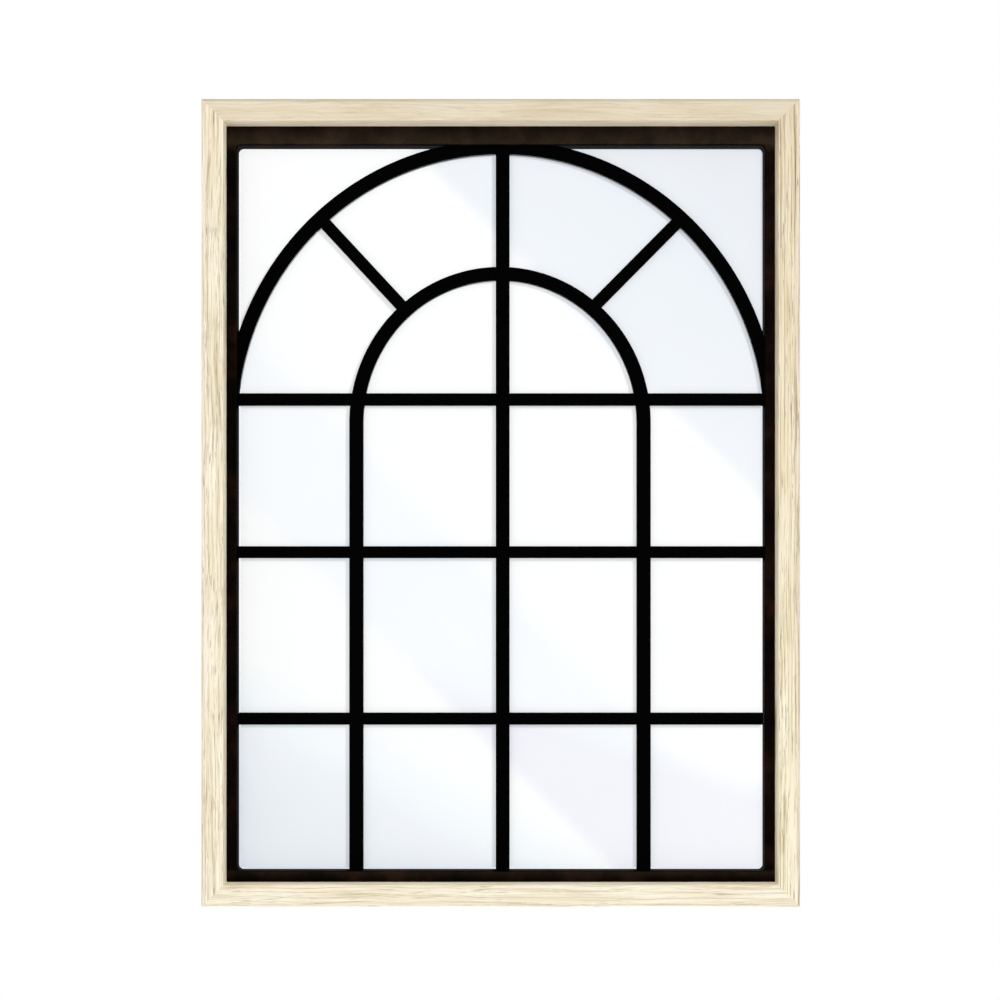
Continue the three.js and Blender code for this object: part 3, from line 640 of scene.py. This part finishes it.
def pan_screw(length):
    """A pan-head wood screw with a cross recess, its seat at y = 0."""
    tip = HEAD_HEIGHT - length
    head = turned([(0, tip), (0.4, tip + 0.6), (SHANK_RADIUS, tip + POINT_LENGTH),
                   (SHANK_RADIUS, 0), (HEAD_RADIUS, 0), (HEAD_RADIUS, 0.7), (2.85, 1.15),
                   (2.4, 1.55), (1.6, 1.8), (0.8, 1.88), (0, HEAD_HEIGHT)], 32)
    for along_x, along_z in ((RECESS_LENGTH, RECESS_WIDTH), (RECESS_WIDTH, RECESS_LENGTH)):
        arm = bmesh.new()
        bmesh.ops.create_cube(arm, size=1)
        bmesh.ops.scale(arm, verts=arm.verts,
                        vec=(along_x * MM, CUTTER_HEIGHT * MM, along_z * MM))
        bmesh.ops.translate(arm, verts=arm.verts, vec=(0, CUTTER_MIDDLE * MM, 0))
        # The recess narrows to half towards its floor
        floor_corners = [v for v in arm.verts if v.co.y < CUTTER_MIDDLE * MM]
        bmesh.ops.scale(arm, verts=floor_corners, vec=(0.5, 1, 0.5))
        head = carved(head, arm)
    return head


def d_ring():
    """A bent wire ring whose pin runs along X through y = z = 0, hanging down."""
    half, reach, bend = RING_HALF_WIDTH * MM, RING_REACH * MM, RING_BEND * MM
    bm = bmesh.new()
    bmesh.ops.create_circle(bm, segments=16, radius=WIRE_RADIUS * MM,
                            matrix=Matrix.Rotation(math.pi / 2, 4, "Y"))
    ring = bm.edges[:]

    def run(vec):
        nonlocal ring
        new = bmesh.ops.extrude_edge_only(bm, edges=ring)["geom"]
        ring = [e for e in new if isinstance(e, bmesh.types.BMEdge)]
        bmesh.ops.translate(bm, verts=[v for v in new if isinstance(v, bmesh.types.BMVert)],
                            vec=vec)

    def turn(centre, degrees, steps):
        nonlocal ring
        new = bmesh.ops.spin(bm, geom=ring, cent=centre, axis=(0, 1, 0), dvec=(0, 0, 0),
                             angle=math.radians(degrees), steps=steps, use_duplicate=False)
        ring = [e for e in new["geom_last"] if isinstance(e, bmesh.types.BMEdge)]

    run((half - bend, 0, 0))
    turn((half - bend, 0, -bend), 90, 6)
    run((0, 0, bend - reach))
    turn((0, 0, -reach), 180, 24)
    run((0, 0, reach - bend))
    turn((bend - half, 0, -bend), 90, 6)
    run((half - bend, 0, 0))
    bmesh.ops.remove_doubles(bm, verts=bm.verts, dist=0.005 * MM)
    return bm


def bumper():
    """A round pad with a rounded rim, its foot at y = 0."""
    bm = turned([(0, 0), (BUMPER_RADIUS, 0), (BUMPER_RADIUS, BUMPER_HEIGHT),
                 (0, BUMPER_HEIGHT)], 40)
    soften(bm, BUMPER_ROUND, 6, sharper=60,
           chosen=lambda e: all(v.co.y > (BUMPER_HEIGHT - 0.2) * MM for v in e.verts))
    soften(bm, FOOT_ROUND, 2, sharper=60,
           chosen=lambda e: all(v.co.y < 0.1 * MM for v in e.verts))
    return bm


def corner_nails():
    """V-shaped steel nails driven in across the mitres, all but flush with the frame's back."""
    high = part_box("bottom_rail")[1]
    width, tall = 2 * high.x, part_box("top_rail")[1].z
    arm, flare = NAIL_ARM * MM, NAIL_FLARE * MM
    bm = bmesh.new()
    for side in (-1, 1):
        for edge, inwards in ((0, 1), (tall, -1)):
            for inset in NAIL_INSETS:
                apex = Vector((side * (width / 2 - inset * MM), high.y + NAIL_PROUD * MM,
                               edge + inwards * inset * MM))
                path = [bm.verts.new(apex + Vector(end)) for end in (
                    (-side * arm, 0, inwards * flare), (0, 0, 0),
                    (-side * flare, 0, inwards * arm))]
                fold = [bm.edges.new(pair) for pair in zip(path, path[1:])]
                driven = bmesh.ops.extrude_edge_only(bm, edges=fold)["geom"]
                bmesh.ops.translate(bm, vec=(0, -NAIL_DEPTH * MM, 0), verts=[
                    v for v in driven if isinstance(v, bmesh.types.BMVert)])
    bmesh.ops.recalc_face_normals(bm, faces=bm.faces)
    bmesh.ops.solidify(bm, geom=bm.faces[:], thickness=NAIL_THICKNESS * MM)
    return bm


finished("corner_nails", corner_nails(), STEEL)

screws = 0
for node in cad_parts:
    low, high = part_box(node)
    middle = (low + high) / 2
    if node.startswith("turn_button"):
        dressed(node, ZINC, BUTTON_ROUND, body=node.replace("turn_button", "button"))
    elif node.startswith("hanger_strap"):
        dressed(node, ZINC, STRAP_ROUND)
    elif node.startswith("d_ring"):
        bm = d_ring()
        bmesh.ops.translate(bm, verts=bm.verts,
                            vec=(middle.x, middle.y, high.z - WIRE_RADIUS * MM))
        finished(f"bent_{node}", bm, ZINC, body=node.replace("d_ring", "ring"),
                 nodes=[node], smooth=60)
    elif "screw" in node:
        screws += 1
        bm = pan_screw((high.y - low.y) / MM)
        bmesh.ops.rotate(bm, verts=bm.verts, matrix=Matrix.Rotation(screws * SCREW_TURN, 3, "Y"))
        bmesh.ops.translate(bm, verts=bm.verts,
                            vec=(middle.x, high.y - HEAD_HEIGHT * MM, middle.z))
        finished(f"turned_{node}", bm, ZINC, nodes=[node], smooth=40)
    elif node.startswith("bumper"):
        bm = bumper()
        bmesh.ops.translate(bm, verts=bm.verts,
                            vec=(middle.x, high.y - BUMPER_HEIGHT * MM, middle.z))
        finished(f"moulded_{node}", bm, RUBBER, nodes=[node])


# ---- Stage, light and camera ----

# The lens's focal length is given in pixels of an image 1000 pixels wide, and its rise as a share
# of that width
CAMERA = Vector((-0.75, -1517.0, 307.8)) * MM
FOCAL_PIXELS, IMAGE_PIXELS, LENS_RISE = 1498.5, 1000, 0.1
SENSOR = 36

# The mirror hangs, so the floor lies well below it; in metres. From FLOOR_FADE out it brightens,
# so that its edge is lost in the white round it
FLOOR_HEIGHT, FLOOR_FADE, FLOOR_HALF_SIZE = -1.25, 2.5, 4.0
FLOOR_GLOW, FLOOR_EDGE_GLOW = 1.6, 2.1

# Strengths of the soft light that falls on things: off a pale floor below, from all round, off a
# wall on the left and off a ceiling
LIGHT_BELOW, LIGHT_ALL_ROUND, LIGHT_LEFT, LIGHT_ABOVE = 4.6, 0.12, 1.35, 0.5

# Slopes of the edges of the low strip and of the corner panel that the glass mirrors
STRIP_SLOPE, PANEL_SLOPE = 0.33, 0.5466


def shown_rays(tree):
    """1 for rays that show the surroundings: the camera's own, mirrored and transmitted ones.

    Light that the glass throws on to wood or liner isn't one of these.
    """
    path = add(tree, "ShaderNodeLightPath")
    shown = path.outputs["Is Camera Ray"]
    for kind in ("Is Glossy Ray", "Is Transmission Ray"):
        shown = add(tree, "ShaderNodeMath", {0: shown, 1: path.outputs[kind]},
                    operation="MAXIMUM").outputs[0]
    direct = add(tree, "ShaderNodeMath", {0: path.outputs["Diffuse Depth"], 1: 0.5},
                 operation="LESS_THAN")
    return add(tree, "ShaderNodeMath", {0: shown, 1: direct.outputs[0]},
               operation="MULTIPLY").outputs[0]


def floor():
    """A pale floor that the camera and the glass see as all but white."""
    bm = bmesh.new()
    bmesh.ops.create_grid(bm, x_segments=1, y_segments=1, size=FLOOR_HALF_SIZE)
    bmesh.ops.translate(bm, verts=bm.verts, vec=(0, 0, FLOOR_HEIGHT))
    mesh = bpy.data.meshes.new("floor")
    bm.to_mesh(mesh)
    bm.free()
    piece = bpy.data.objects.new("floor", mesh)
    bpy.context.scene.collection.objects.link(piece)
    material, tree, shader = new_material(
        "pale_floor", Base_Color=srgb("#e8e8e8"), Roughness=0.9, Specular_IOR_Level=0.0)
    # Half of what those rays see is the floor's own glow
    share = add(tree, "ShaderNodeMath", {0: shown_rays(tree), 1: 0.5}, operation="MULTIPLY")
    place = add(tree, "ShaderNodeTexCoord").outputs["Object"]
    away = add(tree, "ShaderNodeVectorMath", {0: place}, operation="LENGTH")
    glow = add(tree, "ShaderNodeMapRange", {
        "Value": away.outputs["Value"], "From Min": FLOOR_FADE, "From Max": FLOOR_HALF_SIZE,
        "To Min": FLOOR_GLOW, "To Max": FLOOR_EDGE_GLOW})
    white = add(tree, "ShaderNodeEmission", {"Strength": glow.outputs["Result"]})
    mixed = add(tree, "ShaderNodeMixShader", {
        0: share.outputs[0], 1: shader.outputs["BSDF"], 2: white.outputs[0]})
    output = next(n for n in tree.nodes if n.type == "OUTPUT_MATERIAL")
    tree.links.new(mixed.outputs[0], output.inputs["Surface"])
    mesh.materials.append(material)
    piece.visible_diffuse = False


def surroundings():
    """White all round, grey-blue panels that only reflections show, and the soft light on things."""
    world = bpy.data.worlds.new("studio")
    bpy.context.scene.world = world
    world.use_nodes = True
    tree = world.node_tree
    tree.nodes.clear()
    ray = add(tree, "ShaderNodeTexCoord").outputs["Generated"]
    split = add(tree, "ShaderNodeSeparateXYZ", {"Vector": ray})
    behind = add(tree, "ShaderNodeMath", {0: split.outputs["Y"], 1: -1.0}, operation="MULTIPLY")
    # Slopes to the right and up of the direction looked in, per unit towards -Y
    right = add(tree, "ShaderNodeMath", {0: split.outputs["X"], 1: behind.outputs[0]},
                operation="DIVIDE")
    up = add(tree, "ShaderNodeMath", {0: split.outputs["Z"], 1: behind.outputs[0]},
             operation="DIVIDE")
    rising = add(tree, "ShaderNodeMath", {0: right.outputs[0], 1: up.outputs[0]}, operation="ADD")
    spread = add(tree, "ShaderNodeMapRange", {
        "Value": rising.outputs[0], "From Min": -0.4, "From Max": 0.5})
    bands = add(tree, "ShaderNodeValToRGB", {"Fac": spread.outputs["Result"]}, stops=[
        (0.324, "#ffffff"), (0.337, "#f6faff"), (0.441, "#f6faff"), (0.467, "#ffffff"),
        (0.708, "#ffffff"), (0.72, "#e6ecf4"), (0.78, "#e2e8f1"), (0.84, "#dce3ed"),
        (0.95, "#d4dae4")])
    # A pale strip low down, to the right of the lower band's left side
    sinking = add(tree, "ShaderNodeMath", {
        0: right.outputs[0], 1: STRIP_SLOPE, 2: up.outputs[0]}, operation="MULTIPLY_ADD")
    strip = add(tree, "ShaderNodeMapRange", {
        "Value": sinking.outputs[0], "From Min": -0.06, "From Max": -0.08})
    beside = add(tree, "ShaderNodeMapRange", {
        "Value": rising.outputs[0], "From Min": -0.108, "From Max": -0.097})
    low = add(tree, "ShaderNodeMath", {0: strip.outputs["Result"], 1: beside.outputs["Result"]},
              operation="MULTIPLY")
    striped = add(tree, "ShaderNodeMix", {
        0: low.outputs[0], 6: bands.outputs["Color"], 7: srgb("#eaecf6")},
        data_type="RGBA", blend_type="DARKEN")
    # A panel at the lower left that deepens towards the corner
    falling = add(tree, "ShaderNodeMath", {
        0: right.outputs[0], 1: PANEL_SLOPE, 2: up.outputs[0]}, operation="MULTIPLY_ADD")
    sunk = add(tree, "ShaderNodeMapRange", {
        "Value": falling.outputs[0], "From Min": -0.13, "From Max": -0.235})
    corner = add(tree, "ShaderNodeValToRGB", {"Fac": sunk.outputs["Result"]}, stops=[
        (0.0, "#ffffff"), (0.28, "#f0f8fd"), (0.5, "#e6ecf4"), (1.0, "#dae2ec")])
    panel = add(tree, "ShaderNodeMix", {
        0: 1.0, 6: striped.outputs[2], 7: corner.outputs["Color"]},
        data_type="RGBA", blend_type="DARKEN")
    path = add(tree, "ShaderNodeLightPath")
    plain = add(tree, "ShaderNodeMix", {
        0: path.outputs["Is Camera Ray"], 6: panel.outputs[2], 7: (1, 1, 1, 1)}, data_type="RGBA")
    show = add(tree, "ShaderNodeBackground", {"Color": plain.outputs[2], "Strength": 1.0})
    # The light from below gathers round straight down
    down = add(tree, "ShaderNodeMapRange", {
        "Value": split.outputs["Z"], "From Min": 0.0, "From Max": -1.0, "To Max": 1.0})
    steep = add(tree, "ShaderNodeMath", {0: down.outputs["Result"], 1: 4.0}, operation="POWER")
    soft = add(tree, "ShaderNodeMath", {0: steep.outputs[0], 1: LIGHT_BELOW}, operation="MULTIPLY")
    left = add(tree, "ShaderNodeMapRange", {
        "Value": split.outputs["X"], "From Min": 0.0, "From Max": -1.0,
        "To Min": LIGHT_ALL_ROUND, "To Max": LIGHT_LEFT})
    above = add(tree, "ShaderNodeMapRange", {
        "Value": split.outputs["Z"], "From Min": 0.0, "From Max": 1.0, "To Max": LIGHT_ABOVE})
    for side in (left, above):
        soft = add(tree, "ShaderNodeMath", {0: soft.outputs[0], 1: side.outputs["Result"]})
    light = add(tree, "ShaderNodeBackground", {
        "Color": (1, 1, 1, 1), "Strength": soft.outputs[0]})
    mixed = add(tree, "ShaderNodeMixShader", {
        0: shown_rays(tree), 1: light.outputs[0], 2: show.outputs[0]})
    add(tree, "ShaderNodeOutputWorld", {"Surface": mixed.outputs[0]})


def lamp(name, place, size, power, blockers=(), mirrored=True):
    """A square soft lamp aimed at the object's middle, its place given from there in metres.

    Blockers, where they are given, are the only pieces that shade others from it. A lamp that isn't
    mirrored leaves no white glare on the flat zinc.
    """
    middle = (cad_box[0] + cad_box[1]) / 2
    light = bpy.data.lights.new(name, "AREA")
    light.size = size
    light.energy = power
    holder = bpy.data.objects.new(name, light)
    bpy.context.scene.collection.objects.link(holder)
    place = middle + Vector(place)
    holder.visible_camera = False
    holder.visible_glossy = mirrored
    if blockers:
        shading = bpy.data.collections.new(f"{name}_blockers")
        for piece in blockers:
            shading.objects.link(piece)
        holder.light_linking.blocker_collection = shading
    holder.matrix_world = (Matrix.Translation(place)
                           @ (middle - place).to_track_quat("-Z", "Y").to_matrix().to_4x4())


def camera():
    """Level in front of the mirror, a little below its middle, with the lens raised to frame it."""
    data = bpy.data.cameras.new("camera")
    data.sensor_width = SENSOR
    data.lens = SENSOR * FOCAL_PIXELS / IMAGE_PIXELS
    data.shift_y = LENS_RISE
    holder = bpy.data.objects.new("camera", data)
    bpy.context.scene.collection.objects.link(holder)
    holder.location = CAMERA
    holder.rotation_euler = (math.pi / 2, 0, 0)
    bpy.context.scene.camera = holder


floor()
surroundings()
lamp("key", place=(4.88, -5.2, 3.66), size=0.8, power=448, blockers=GRILLE)
lamp("back", place=(-1.3, 2.4, 1.3), size=1.5, power=47, mirrored=False)
camera()
bpy.context.scene.view_settings.view_transform = "Standard"
